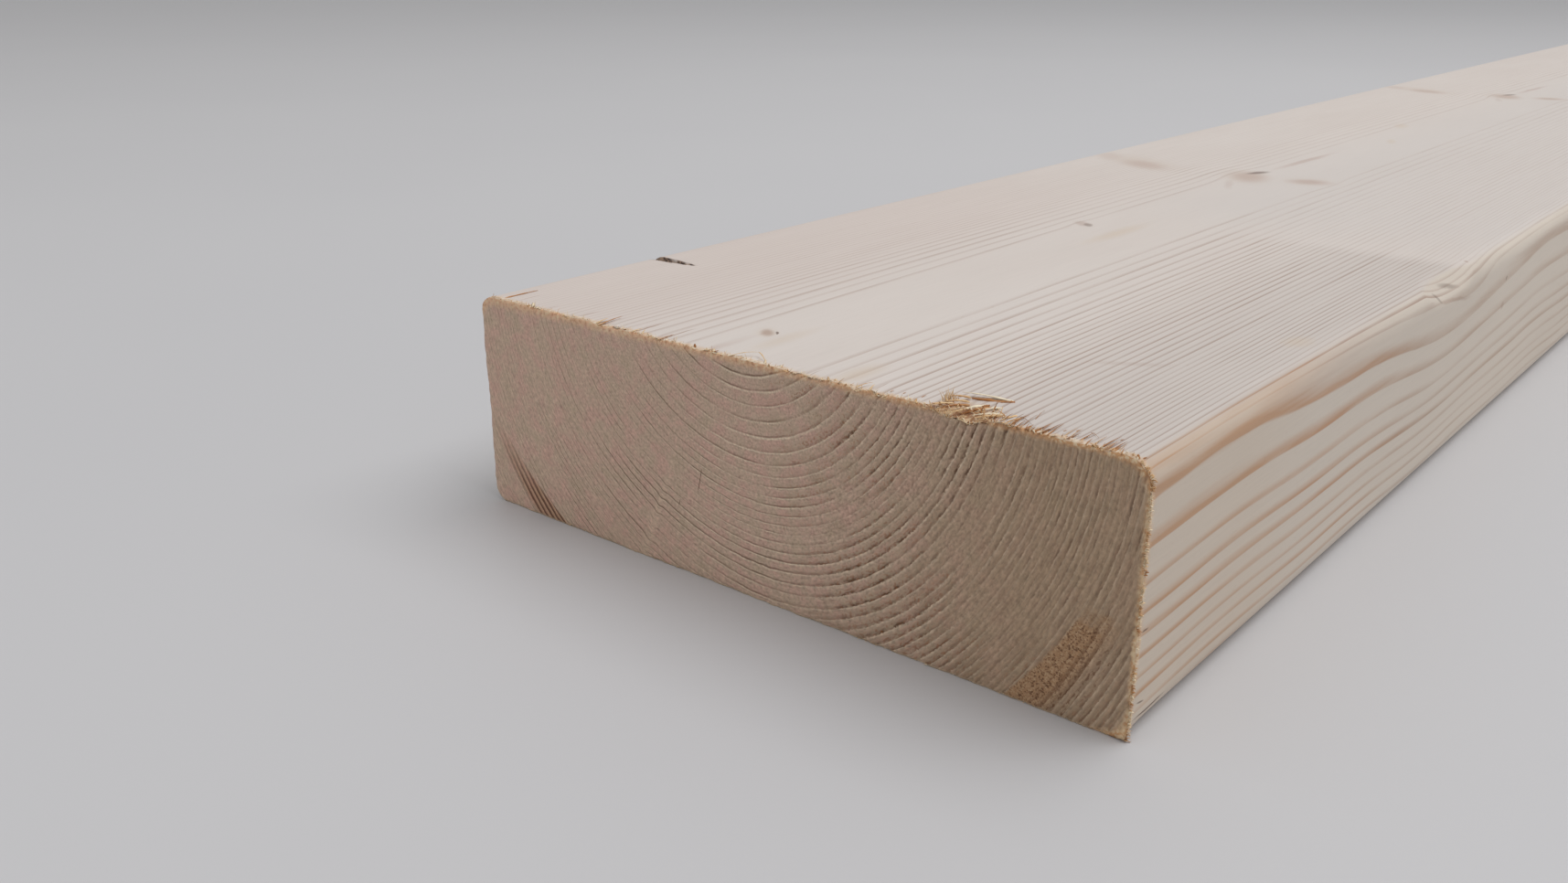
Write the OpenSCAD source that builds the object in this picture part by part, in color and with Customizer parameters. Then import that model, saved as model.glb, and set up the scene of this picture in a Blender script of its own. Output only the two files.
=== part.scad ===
// Planed softwood plank: a rectangular section with eased arrises, cut square at both ends.
// It lies on its wide face. X runs across the width, Y along the grain and Z up.
// The origin is the middle of the underside.

/* [Plank] */
// Length along the grain
plank_l = 1800; // [900:300:6000]
// Width of the wide faces
plank_w = 145; // [70:5:245]
// Thickness between the wide faces
plank_t = 44; // [19:1:75]
// Radius of the four long arrises
arris_r = 4; // [1:0.5:8]

/* [Bark pocket] */
// Distance from the front end to the middle of the pocket
pocket_from_end = 46; // [20:1:200]
// Reach of the pocket into the plank from its left edge
pocket_reach = 15; // [6:0.5:30]
// Gape of the pocket along the grain where it meets the edge
pocket_gape = 3; // [1:0.25:6]
// Depth of the pocket below the top face, at the edge
pocket_depth = 6; // [2:0.5:12]

/* [Torn knot] */
// Distance from the front end to the middle of the torn knot on the right arris
tear_from_end = 140; // [60:1:400]
// Length of the torn hollow along the arris
tear_l = 34; // [15:1:60]
// Depth of the hollow below the eased arris
tear_depth = 1.5; // [0.5:0.25:3]

/* [Hidden] */
$fn = 96;

timber_colour = [0.83, 0.77, 0.70];

// Distance by which every cut runs past the faces that it opens
overrun = 2;
// Slope of the torn hollow: half way between the top face and the edge
arris_slope = 45;

front_y = -plank_l / 2;
edge_x = plank_w / 2;

// The pocket's plan is a lens on the edge line, as long as twice its reach and as wide as its gape
pocket_lens_r = (pow(pocket_reach, 2) + pow(pocket_gape / 2, 2)) / pocket_gape;

// The hollow is a round scoop whose chord is its length and whose sagitta is its depth
tear_scoop_r = (pow(tear_l / 2, 2) + pow(tear_depth, 2)) / (2 * tear_depth);

// The planed section, on the XY plane with its base on the X axis
module eased_section() {
    across = edge_x - arris_r;
    translate([-across, 0]) square([2 * across, plank_t]);
    translate([-edge_x, arris_r]) square([plank_w, plank_t - 2 * arris_r]);
    for (x = [-across, across], y = [arris_r, plank_t - arris_r])
        translate([x, y]) circle(r = arris_r);
}

// The plank as it leaves the planer and the cross-cut saw
module planed_blank() {
    translate([0, plank_l / 2, 0]) rotate([90, 0, 0])
        linear_extrude(height = plank_l) eased_section();
}

// Plan of the bark pocket, pointed at its inner end
module pocket_plan() {
    offset_y = pocket_lens_r - pocket_gape / 2;
    intersection() {
        translate([0, offset_y]) circle(r = pocket_lens_r);
        translate([0, -offset_y]) circle(r = pocket_lens_r);
    }
}

// Side view of the bark pocket: its floor falls from nothing at the inner end to full depth at the edge
module pocket_fall() {
    fall = pocket_depth / pocket_reach;
    polygon([
        [pocket_reach, 0],
        [-overrun, -pocket_depth - overrun * fall],
        [-overrun, overrun],
        [pocket_reach, overrun]
    ]);
}

// The slot that a dead twig and its bark left in the top left arris
module bark_pocket() {
    translate([-edge_x, front_y + pocket_from_end, plank_t]) intersection() {
        translate([0, 0, -2 * pocket_depth])
            linear_extrude(height = 2 * pocket_depth + overrun) pocket_plan();
        translate([0, pocket_gape, 0]) rotate([90, 0, 0])
            linear_extrude(height = 2 * pocket_gape) pocket_fall();
    }
}

// The shallow hollow where the planer tore the grain of a knot out of the top right arris
module torn_knot() {
    scoop_l = 4 * arris_r + 2 * tear_l;
    translate([edge_x - arris_r, front_y + tear_from_end, plank_t - arris_r])
        rotate([0, arris_slope, 0])
            translate([-scoop_l / 2, 0, arris_r + tear_scoop_r - tear_depth])
                rotate([0, 90, 0]) cylinder(h = scoop_l, r = tear_scoop_r);
}

module plank() {
    color(timber_colour) difference() {
        planed_blank();
        bark_pocket();
        torn_knot();
    }
}

plank();
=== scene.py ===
import math

import bpy
import numpy as np
from mathutils import Euler, Matrix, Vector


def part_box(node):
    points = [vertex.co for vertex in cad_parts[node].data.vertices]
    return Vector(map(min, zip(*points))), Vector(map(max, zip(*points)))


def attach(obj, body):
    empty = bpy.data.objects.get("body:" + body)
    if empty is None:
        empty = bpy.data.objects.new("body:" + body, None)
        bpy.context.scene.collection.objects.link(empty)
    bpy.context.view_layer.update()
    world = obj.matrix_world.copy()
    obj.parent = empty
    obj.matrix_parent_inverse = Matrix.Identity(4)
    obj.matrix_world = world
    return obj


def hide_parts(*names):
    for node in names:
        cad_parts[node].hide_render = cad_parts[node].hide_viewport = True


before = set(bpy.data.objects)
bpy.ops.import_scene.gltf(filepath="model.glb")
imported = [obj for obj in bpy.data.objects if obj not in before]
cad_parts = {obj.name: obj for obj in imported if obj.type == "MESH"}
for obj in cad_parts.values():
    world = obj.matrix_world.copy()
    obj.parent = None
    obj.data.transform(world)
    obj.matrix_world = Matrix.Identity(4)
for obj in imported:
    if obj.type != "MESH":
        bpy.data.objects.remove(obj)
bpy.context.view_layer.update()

# The plank: one piece of spruce, sawn from beside the pith of the log.
# Its four long faces are planed with eased arrises, and both ends are left as the saw cut them.
# A bark pocket opens on the left edge, and a branch was torn out of the right arris.

MM = 0.001
low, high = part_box("plank")
width = (high.x - low.x) / MM
length = (high.y - low.y) / MM
thick = (high.z - low.z) / MM
half_width = width / 2
front = low.y / MM
arris = 4.0

pocket_along = 46.0
pocket_reach = 15.0
pocket_gape = 3.0
pocket_depth = 6.0
tear_along = 140.0
tear_length = 34.0
tear_depth = 1.5


class Shade:
    """A number, colour or vector that changes over a surface. Sums on it add Math nodes."""

    def __init__(self, tree, socket=None):
        self.tree = tree
        self.socket = socket

    def node(self, kind, settings=None, sockets=None, output=0):
        """Adds a node: its settings first, then its sockets' values or links."""
        made = self.tree.nodes.new(kind)
        for name, value in (settings or {}).items():
            setattr(made, name, value)
        for name, value in (sockets or {}).items():
            if isinstance(value, Shade):
                self.tree.links.new(value.socket, made.inputs[name])
            else:
                made.inputs[name].default_value = value
        return Shade(self.tree, made.outputs[output])

    def maths(self, operation, *values):
        return self.node("ShaderNodeMath", {"operation": operation}, dict(enumerate(values)))

    def vector(self, operation, by):
        """A sum on a whole vector or colour: by another one or, for SCALE, by a number."""
        slot = 3 if operation == "SCALE" else 1
        return self.node("ShaderNodeVectorMath", {"operation": operation}, {0: self, slot: by})

    def __add__(self, other):
        return self.maths("ADD", self, other)

    def __sub__(self, other):
        return self.maths("SUBTRACT", self, other)

    def __rsub__(self, other):
        return self.maths("SUBTRACT", other, self)

    def __mul__(self, other):
        return self.maths("MULTIPLY", self, other)

    def __truediv__(self, other):
        return self.maths("DIVIDE", self, other)

    def __rtruediv__(self, other):
        return self.maths("DIVIDE", other, self)

    def __neg__(self):
        return self.maths("MULTIPLY", self, -1.0)

    __radd__ = __add__
    __rmul__ = __mul__


def either(operation, on_array):
    """A sum that works alike on arrays of points and on a finish's values."""
    def worked(*values):
        for value in values:
            if isinstance(value, Shade):
                return value.maths(operation, *values)
        return on_array(*values)
    return worked


sine = either("SINE", np.sin)
cosine = either("COSINE", np.cos)
root = either("SQRT", np.sqrt)
turn_of = either("ARCTAN2", np.arctan2)
grown = either("EXPONENT", np.exp)
whole = either("FLOOR", np.floor)
greater = either("MAXIMUM", np.maximum)
lesser = either("MINIMUM", np.minimum)
size_of = either("ABSOLUTE", np.abs)


def bell(value):
    """1 at 0, falling away softly on both sides."""
    return grown(-(value * value))


# The pith lies above the top face, and the rings are a little out of round.
pith_x = -2.9
pith_z = 62.4
round_reach = 60.0
inner_ring = 2.65
narrowing = 26.2
narrowing_ease = 9.0
closer = 0.048
slower = 0.00101


def ring_distance(x, along, z):
    """How far out in the stem a point is, in mm, following the rings' own shape."""
    sway = 0.12 * sine(along / 131.0) + 0.04 * sine(along / 53.0)
    lift = 0.5 * sine(along / 230.0)
    across = x - pith_x - sway
    below = pith_z - z - lift
    radius = root(across * across + below * below)
    turn = turn_of(across, below)
    unround = 0.124 * cosine(2.0 * turn + 2.84) + 0.066 * cosine(3.0 * turn - 0.06)
    unround = unround + 0.027 * cosine(4.0 * turn + 3.2) + 0.011 * cosine(5.0 * turn + 1.12)
    ripple = 0.04 - 0.04 * cosine(along / 10.4 + 0.5 * turn - 0.5)
    ripple = ripple + 0.06 * sine(along / 37.0) * sine(2.0 * turn + along / 90.0)
    reach = radius / round_reach
    flatter = 0.14 * bell((x - half_width) / 9.0)
    return radius + radius * reach * unround + ripple * reach * reach - flatter


def past_narrowing(distance):
    """How far past the wide inner rings a point is, in mm, and the same without its sign, softly bent."""
    past = distance - narrowing
    return past, root(past * past + narrowing_ease)


def ring_count(distance):
    """Years from the pith: wide rings first, then narrower and narrower ones that come and go in width."""
    past, bend = past_narrowing(distance)
    grow = past + bend
    swing = 0.468 * (0.5 + 0.5 * past / bend) * sine(0.225 * distance + 3.03)
    pause = distance - 82.0
    swing = swing - 0.22 * pause / root(pause * pause + 3.0)
    return distance / inner_ring + grow * (closer + slower * grow) + swing - 0.014


def smooth_step(value, start, end):
    """0 before start, 1 after end, with a soft change between them, on arrays."""
    share = np.clip((value - start) / (end - start), 0, 1)
    return share * share * (3 - 2 * share)


def section_grid(columns, rows, burst=0.0):
    """A grid over the eased section, in mm: arrays of x and z with a row for each height.

    Where the saw burst the lower right corner outwards, its arris is drawn back towards a square one."""
    x, z = np.meshgrid(np.linspace(-half_width, half_width, columns + 1), np.linspace(0, thick, rows + 1))
    middle = thick / 2
    in_x = np.maximum(np.abs(x) - (half_width - arris), 0)
    in_z = np.maximum(np.abs(z - middle) - (middle - arris), 0)
    far = np.maximum(in_x, in_z)
    pull = far / np.maximum(np.hypot(in_x, in_z), 1e-9)
    pull = np.where((x > 0) & (z < middle), pull + burst * (1 - pull), pull)
    x = np.sign(x) * (np.minimum(np.abs(x), half_width - arris) + in_x * pull)
    z = middle + np.sign(z - middle) * (np.minimum(np.abs(z - middle), middle - arris) + in_z * pull)
    return x, z


def rim_walk(columns, rows):
    """Row and column of each grid point round the outline, from the lower left, anticlockwise."""
    across = np.arange(columns)
    up = np.arange(rows)
    row = np.concatenate([0 * across, up, 0 * across + rows, rows - up])
    column = np.concatenate([across, 0 * up + columns, columns - across, 0 * up])
    return row, column


def softened(values, reach):
    """Random values along a line, smoothed over a reach of points and brought back to unit spread."""
    spread = np.arange(-3 * reach, 3 * reach + 1)
    weights = np.exp(-(spread / reach) ** 2)
    smooth = np.convolve(values, weights / weights.sum(), mode="same")
    return smooth / smooth.std()


# Hollows where the saw tore fibres off the top of the front end: x, half width, depth and length inwards.
torn_hollows = [
    (41.0, 6.5, 1.1, 10.0),
    (-37.0, 2.5, 0.4, 5.0),
    (-22.0, 2.0, 0.3, 4.0),
    (13.0, 3.0, 0.3, 3.0),
]
front_burst = 0.6
chip_dice = np.random.default_rng(5)
top_chips = 0.34 * np.clip(softened(chip_dice.normal(size=325), 2) - 0.5, 0, 1.6)
side_chips = 0.30 * np.clip(softened(chip_dice.normal(size=97), 2) - 0.4, 0, 1.6)


def torn_away(x, z, from_end, hollows):
    """How much wood is torn off the top and off the right face near a sawn end, in mm."""
    chips = np.interp(x, np.linspace(-half_width, half_width, len(top_chips)), top_chips)
    off_top = chips * np.exp(-from_end / 1.1)
    for place, half, depth, deep in hollows:
        hollow = np.clip(1 - ((x - place) / half) ** 2, 0, 1)
        off_top = off_top + depth * hollow * np.maximum(0.0, 1 - from_end / deep) ** 1.5
    chips = np.interp(z, np.linspace(0, thick, len(side_chips)), side_chips)
    off_side = chips * np.exp(-from_end / 0.8)
    return (off_top * np.clip((z - thick + arris) / arris, 0, 1),
            off_side * np.clip((x - half_width + arris) / arris, 0, 1))


def end_relief(x, z, dice):
    """How far each point of a sawn end stands out, in mm, and how ragged its rim is."""
    year = ring_count(ring_distance(x, 0.0, z)) % 1
    ridge = np.exp(-((year - 0.86) / 0.13) ** 2) + np.exp(-((year + 0.14) / 0.13) ** 2)
    coarse = smooth_step(x, -20, 25)
    fuzz = dice.normal(size=x.shape)
    fuzz = (fuzz + np.roll(fuzz, 1, 0) + np.roll(fuzz, 1, 1) + np.roll(fuzz, -1, 0)) / 2
    stand = (0.015 + 0.04 * coarse) * (ridge - 0.45) + (0.012 + 0.03 * coarse) * fuzz
    rows, columns = x.shape
    rough = {"top": 0.32, "right": 0.36, "bottom": 0.14, "left": 0.10}
    edges = {"top": thick - z, "right": half_width - x, "bottom": z, "left": half_width + x}
    ragged = np.zeros_like(x)
    for side, away in edges.items():
        count = columns if side in ("top", "bottom") else rows
        line = 0.6 * softened(dice.normal(size=count), 2) + 0.5 * softened(dice.normal(size=count), 6)
        line = line[None, :] if side in ("top", "bottom") else line[:, None]
        ragged += rough[side] * line * np.exp(-away / 0.7)
    return stand, ragged


# The mesh is finest at the front end. Along the plank, its rings of points stand close together
# at the ends, at the bark pocket and at the torn knot.
front_columns, front_rows = 324, 96
mid_columns, mid_rows = 108, 32
back_columns, back_rows = 216, 64
lip_stations = [0.45, 0.9, 1.5, 2.3, 3.3, 4.6, 6.5, 9.0]
mid_stations = np.concatenate([
    np.arange(12, 42, 4),
    np.arange(43, 49.3, 0.5),
    np.arange(52, 121, 6),
    np.arange(122, 159, 1.5),
    np.arange(162, 340, 10),
    np.linspace(350, length - 50, 38),
    np.arange(length - 40, length - 11, 7),
])
back_lip_stations = [length - away for away in (8.0, 5.5, 3.6, 2.2, 1.2, 0.6)]


def pocket_opening(inwards):
    """Half the width of the lens-shaped bark pocket, in mm, at a distance inwards from the left edge."""
    lens = (pocket_reach ** 2 + (pocket_gape / 2) ** 2) / pocket_gape
    return root(lens ** 2 - inwards * inwards) - (lens - pocket_gape / 2)


def planed_points(x, z, along):
    """One ring of points round the planed faces, with the bark pocket and the torn hollow cut in."""
    x = x.copy()
    z = z.copy()
    inwards = np.clip(x + half_width, 0, pocket_reach)
    pocket_floor = thick - pocket_depth * (1 - inwards / pocket_reach)
    opened = (np.abs(along - pocket_along) < pocket_opening(inwards)) & (z > pocket_floor)
    opened = opened & (x + half_width < pocket_reach)
    z[opened] = pocket_floor[opened]
    corner = (half_width - arris) + (thick - arris) + arris * math.sqrt(2)
    scoop = ((tear_length / 2) ** 2 + tear_depth ** 2) / (2 * tear_depth)
    off = along - tear_along
    if abs(off) < tear_length / 2:
        sunk = math.sqrt(scoop ** 2 - off ** 2) - (scoop - tear_depth)
        over = np.maximum((x + z - corner) / math.sqrt(2) + sunk, 0)
        x = x - over / math.sqrt(2)
        z = z - over / math.sqrt(2)
    return x, z


dice = np.random.default_rng(11)
points = []
faces = []
face_finish = []
corner_spots = []


def add_points(x, along, z):
    """Adds points in mm, with along measured from the front end, and gives back their numbers."""
    start = sum(len(block) for block in points)
    block = np.stack(np.broadcast_arrays(x, front + along, z), -1).reshape(-1, 3)
    points.append(block)
    return start + np.arange(len(block))


PLANED, SAWN = 0, 1


def add_faces(corners, spots, finish):
    """Adds faces of one finish, with the spots of their corners in the flat layout."""
    faces.extend(corners.tolist())
    corner_spots.extend(spots.reshape(-1, 2).tolist())
    face_finish.extend([finish] * len(corners))


# The flat layout of the faces: the planed faces side by side, with the front drawn longer than the rest
# because its grain is followed closely, and the two ends in a strip beside them.
strip = 0.80
near_length = 360.0
near_share = 0.52
rest_share = 0.46
end_wide = 0.48
end_high = 0.19


def planed_spot(share, along):
    """Where a point of the planed faces lies in the flat layout. Share is its part of the way round."""
    near = np.minimum(along, near_length) / near_length * near_share
    rest = np.maximum(along - near_length, 0) / (length - near_length) * rest_share
    return np.stack(np.broadcast_arrays(0.005 + (strip - 0.02) * share, 0.01 + near + rest), -1)


def end_spot(x, z, base):
    """Where a point of a sawn end lies in the flat layout."""
    return np.stack([strip + 0.005 + end_high * z / thick, base + end_wide * (x / width + 0.5)], -1)


def end_cap(columns, rows, along, outwards, base, burst, hollows):
    """A sawn end as a fine grid. Gives back the numbers of its rim points and its rim's raggedness."""
    x, z = section_grid(columns, rows, burst)
    stand, ragged = end_relief(x, z, dice)
    away = np.minimum.reduce([thick - z, half_width - np.abs(x), z])
    eased = 0.25 * np.exp(-np.maximum(away, 0) / 0.25)
    off_top, off_side = torn_away(x, z, 0.0, hollows)
    x, z = x - off_side, z - off_top
    number = add_points(x, along + outwards * (stand + ragged - eased), z).reshape(x.shape)
    spots = end_spot(x, z, base)
    square = [(0, 0), (0, 1), (1, 1), (1, 0)]
    if outwards > 0:
        square = square[::-1]
    take = [(slice(r, rows + r), slice(c, columns + c)) for r, c in square]
    add_faces(np.stack([number[t] for t in take], -1).reshape(-1, 4),
              np.stack([spots[t] for t in take], -2), SAWN)
    row, column = rim_walk(columns, rows)
    return number[row, column], ragged[row, column]


def tube(first, second, along_first, along_second):
    """Joins two rings of as many points by squares."""
    count = len(first)
    after = (np.arange(count) + 1) % count
    corners = np.stack([first, second, second[after], first[after]], -1)
    share = np.arange(count) / count
    ahead = share + 1 / count
    spots = np.stack([planed_spot(share, along_first), planed_spot(share, along_second),
                      planed_spot(ahead, along_second), planed_spot(ahead, along_first)], 1)
    add_faces(corners, spots, PLANED)


def stitch(fine, coarse, along_fine, along_coarse, flip):
    """Joins a fine ring to a coarse one, a fan of triangles for each coarse step."""
    many = len(fine) // len(coarse)
    middle = many // 2
    for step in range(len(coarse)):
        first = step * many
        near = (coarse[step], first, along_coarse)
        far = (coarse[(step + 1) % len(coarse)], first + many, along_coarse)
        at = [(fine[k % len(fine)], k, along_fine) for k in range(first, first + many + 1)]
        fans = [(at[k], near, at[k + 1]) for k in range(middle)]
        fans += [(at[middle], near, far)]
        fans += [(at[k], far, at[k + 1]) for k in range(middle, many)]
        for fan in fans:
            if flip:
                fan = fan[::-1]
            number, place, along = (np.array(values) for values in zip(*fan))
            add_faces(number[None], planed_spot(place / len(fine), along), PLANED)


def lip_points(columns, rows, station, ragged, from_end, burst, hollows):
    """A ring of points close to an end, where the saw has torn the arrises."""
    x, z = section_grid(columns, rows, burst * math.exp(-from_end / 2.5))
    row, column = rim_walk(columns, rows)
    x, z = x[row, column], z[row, column]
    out_x = np.sign(x) * (np.abs(x) > half_width - arris)
    out_z = np.where(z > thick - arris, 1.0, 0.0)
    off_top, off_side = torn_away(x, z, from_end, hollows)
    lifted = 0.6 * ragged * math.exp(-from_end / 1.2)
    x = x + out_x * np.minimum(lifted, 0.3) - off_side
    z = z + out_z * np.minimum(lifted, 0.25) - off_top
    return add_points(x, station, z)


front_rim, front_ragged = end_cap(front_columns, front_rows, 0.0, -1, 0.01, front_burst, torn_hollows)
back_rim, back_ragged = end_cap(back_columns, back_rows, length, 1, 0.51, 0.0, [])

mid_x, mid_z = section_grid(mid_columns, mid_rows)
mid_walk = rim_walk(mid_columns, mid_rows)
mid_x, mid_z = mid_x[mid_walk], mid_z[mid_walk]
rings = [(front_rim, 0.0)]
for station in lip_stations:
    ring = lip_points(front_columns, front_rows, station, front_ragged, station, front_burst, torn_hollows)
    rings.append((ring, station))
for station in mid_stations:
    ring_x, ring_z = planed_points(mid_x, mid_z, station)
    rings.append((add_points(ring_x, station, ring_z), station))
for station in back_lip_stations:
    ring = lip_points(back_columns, back_rows, station, back_ragged, length - station, 0.0, [])
    rings.append((ring, station))
rings.append((back_rim, length))

for (first, along_first), (second, along_second) in zip(rings, rings[1:]):
    if len(first) == len(second):
        tube(first, second, along_first, along_second)
    elif len(first) > len(second):
        stitch(first, second, along_first, along_second, False)
    else:
        stitch(second, first, along_second, along_first, True)

plank_mesh = bpy.data.meshes.new("planed_plank")
plank_mesh.from_pydata((np.concatenate(points) * MM).tolist(), [], faces)
plank_mesh.polygons.foreach_set("material_index", face_finish)
plank_mesh.polygons.foreach_set("use_smooth", [True] * len(faces))
layout = plank_mesh.uv_layers.new(name="OFBake")
layout.uv.foreach_set("vector", np.array(corner_spots, np.float32).ravel())
plank_mesh.update()
plank = bpy.data.objects.new("planed_plank", plank_mesh)
bpy.context.collection.objects.link(plank)


def colour(red, green, blue):
    """A colour as a screen shows it, from 0 to 255, turned into light."""
    shown = np.array((red, green, blue)) / 255
    light = np.where(shown <= 0.04045, shown / 12.92, ((shown + 0.055) / 1.055) ** 2.4)
    return (float(light[0]), float(light[1]), float(light[2]), 1.0)


def between(value, start, end):
    """0 before start, 1 after end, with a soft change between them."""
    return value.node("ShaderNodeMapRange", {"interpolation_type": "SMOOTHSTEP"},
                      {"Value": value, "From Min": start, "From Max": end})


def band(value, start, full, fall, end):
    """0 outside start and end and 1 from full to fall, with soft changes between them."""
    return between(value, start, full) * between(value, end, fall)


def blend(share, first, second):
    """One colour passing into another."""
    return share.node("ShaderNodeMix", {"data_type": "RGBA"}, {0: share, 6: first, 7: second}, 2)


def toned(shade, by):
    """A colour made lighter or darker by a factor that varies."""
    return shade.vector("SCALE", by)


def stretched(place, across, along):
    """The surface's coordinates with the grain drawn out along its length, for a noise."""
    return place.vector("MULTIPLY", (1 / across, 1 / along, 1 / across))


def mottle(place, across, along, detail=2.0):
    """Uneven patches of a given size in mm, from about 0 to 1."""
    return place.node("ShaderNodeTexNoise", {}, {
        "Vector": stretched(place, across, along), "Scale": 1.0, "Detail": detail, "Roughness": 0.55})


def start_finish(name):
    """A new finish, with its surface shader and the coordinates that its pattern follows, in mm."""
    material = bpy.data.materials.new(name)
    material.use_nodes = True
    tree = material.node_tree
    surface = tree.nodes["Principled BSDF"]
    place = Shade(tree).node("ShaderNodeTexCoord", output="Object").vector("SCALE", 1 / MM)
    parts = [place.node("ShaderNodeSeparateXYZ", {}, {0: place}, axis) for axis in range(3)]
    return material, surface, place, parts


def set_surface(surface, base, roughness, height, strength, reach, shine):
    """Links a finish's varying colour, roughness and fine relief to its shader, and sets its shine."""
    links = base.tree.links
    links.new(base.socket, surface.inputs["Base Color"])
    links.new(roughness.socket, surface.inputs["Roughness"])
    bump = height.node("ShaderNodeBump", {}, {"Height": height, "Strength": strength, "Distance": reach})
    links.new(bump.socket, surface.inputs["Normal"])
    surface.inputs["Specular IOR Level"].default_value = shine


# Marks on the wood as soft ovals: middle (x, along, z), half sizes, turn in degrees and strength.
# The whorls of branches come round again up the stem, so their marks are given once, for the first whorl.
top = thick
left, right = -half_width, half_width
whorl_start = 95
whorl_step = 292

# Where branches push the rings outwards: middle, half sizes and push in mm.
swerves = [
    ((right, 150, 32), (14, 42, 24), 1.05),
    ((right, 104, 41), (8, 32, 6), 0.45),
    ((right, 157, 43), (8, 14, 6), 0.9),
    ((-9.8, 15.3, top), (4, 4, 6), 0.3),
    ((-15.1, 141.4, top), (5, 5, 6), 0.4),
]
whorl_swerves = [
    ((-15, 241, top), (11, 14, 14), 1.7),
    ((6, 238, top), (9, 10, 10), 0.9),
    ((-55, 243, top), (20, 12, 10), 0.9),
    ((-34, 262, 0), (13, 17, 14), 2.6),
    ((24, 254, 0), (10, 13, 12), 2),
]

tan_marks = [
    ((-3.1, 136, top), (2.9, 18, 6), 0, 0.4),
    ((-4.5, 14, top), (2.4, 11, 6), 0, 0.3),
    ((18, 6, top), (3, 8.5, 4), 0, 0.4),
    ((65.5, 70, top), (3.2, 5, 4), 0, 0.35),
    ((-9.8, 15.3, top), (4, 2.6, 4), -48, 0.3),
    ((-4.4, 343.6, top), (7.6, 1.8, 6), -74, 0.35),
    ((-15.5, 390.7, top), (9.1, 2.9, 6), -76, 0.35),
]
brown_marks = [
    ((-9.8, 15.3, top), (2.7, 1.5, 4), -48, 0.6),
    ((-15.1, 141.4, top), (4.1, 2.2, 4), -47, 0.36),
    ((48.7, 39, top), (8, 1.4, 4), 31, 0.16),
    ((-62.5, 4.2, top), (0.20, 4.6, 2), 0, 0.4),
    ((-44.2, 3.4, top), (0.22, 3, 2), 0, 0.75),
    ((-28.5, 4.6, top), (0.24, 4.6, 2), 0, 0.9),
    ((-21.5, 4, top), (0.26, 5, 2), 0, 0.9),
    ((-53.5, 2.2, top), (0.18, 2.4, 2), 0, 0.6),
    ((12, 2, top), (0.14, 2.8, 2), 0, 0.5),
    ((24.5, 3, top), (0.15, 3, 2), 0, 0.5),
    ((right, 186, 28.8), (2, 1.6, 1.1), 0, 0.4),
    ((72, 144, 38.4), (2, 13, 0.6), -8, 0.35),
    ((69.6, 157.4, top), (0.6, 0.9, 2), 0, 0.5),
]
dark_marks = [
    ((-8.2, 16.2, top), (1, 0.3, 3), -49, 0.85),
    ((-13.5, 140.8, top), (2.5, 1.05, 3), -54, 0.42),
    ((right, 2.4, 17.6), (2, 1.2, 0.2), 0, 0.8),
    ((right, 6.4, 3.3), (3, 5.4, 0.22), 0, 0.9),
    ((right, 3.2, 5.6), (2, 1.2, 0.2), -12, 0.7),
    ((right, 185.5, 35.4), (2, 0.7, 0.6), 0, 0.5),
    ((71.9, 130.8, 41.1), (1.5, 2.2, 0.6), -37, 0.4),
    ((71.4, 140.6, 41.6), (2, 6, 0.7), -11, 0.42),
]
whorl_tan_marks = [
    ((-50.2, 243.8, top), (22.2, 10.1, 6), -34, 0.45),
    ((-13.4, 237.6, top), (16.1, 8.3, 8), -65, 0.5),
    ((5, 239.7, top), (9.5, 9.4, 6), 2, 0.35),
]
whorl_brown_marks = [
    ((-47.2, 239.6, top), (12.6, 6.5, 5), -35, 0.32),
    ((-64.7, 249.8, top), (10.6, 5.2, 5), -58, 0.18),
    ((-12.2, 237.4, top), (12.5, 6.5, 6), -65, 0.4),
    ((-11.5, 221.1, top), (9.4, 1.6, 5), -70, 0.2),
    ((5.1, 239.2, top), (6.8, 6, 5), 19, 0.42),
    ((-10.9, 279.7, top), (26.1, 1.7, 5), 88, 0.4),
]
whorl_dark_marks = [((-13.1, 246.5, top), (5.1, 2.1, 4), 72, 0.65)]
whorl_knots = [
    ((-34, 262, 0), (7.5, 9, 14)),
    ((24, 254, 0), (5, 6, 12)),
    ((left, 246, 38), (14, 5, 4.5)),
]


def oval(place, middle, half, turn=0):
    """How far out of an oval a point is: 0 in its middle and 1 at its edge. It is turned on its own face."""
    angle = math.radians(turn)
    there = place.node("ShaderNodeMapping", {"vector_type": "TEXTURE"}, {
        "Vector": place, "Location": (middle[0], front + middle[1], middle[2]),
        "Rotation": (0, 0, angle) if middle[2] == top else (angle, 0, 0), "Scale": half})
    return place.node("ShaderNodeVectorMath", {"operation": "LENGTH"}, {0: there}, 1)


def swerved(place, distance, rows):
    """The ring distance, with the rings pushed outwards round the branches."""
    for middle, half, push in rows:
        distance = distance - push * bell(oval(place, middle, half))
    return distance


def strongest(place, rows, core):
    """How strongly the marks of one kind show at a point. They fade from their core to their edge."""
    shown = None
    for middle, half, turn, strength in rows:
        mark = strength * between(oval(place, middle, half, turn), 1.2, core)
        shown = mark if shown is None else greater(shown, mark)
    return shown


def uneven_rings(distance):
    """The ring distance with some years a little wider and some narrower."""
    chance = distance.node("ShaderNodeTexNoise", {"noise_dimensions": "1D"},
                           {"W": 0.6 * distance, "Scale": 1.0})
    return distance + 0.3 * chance - 0.15


season_draw = 286.0


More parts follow.
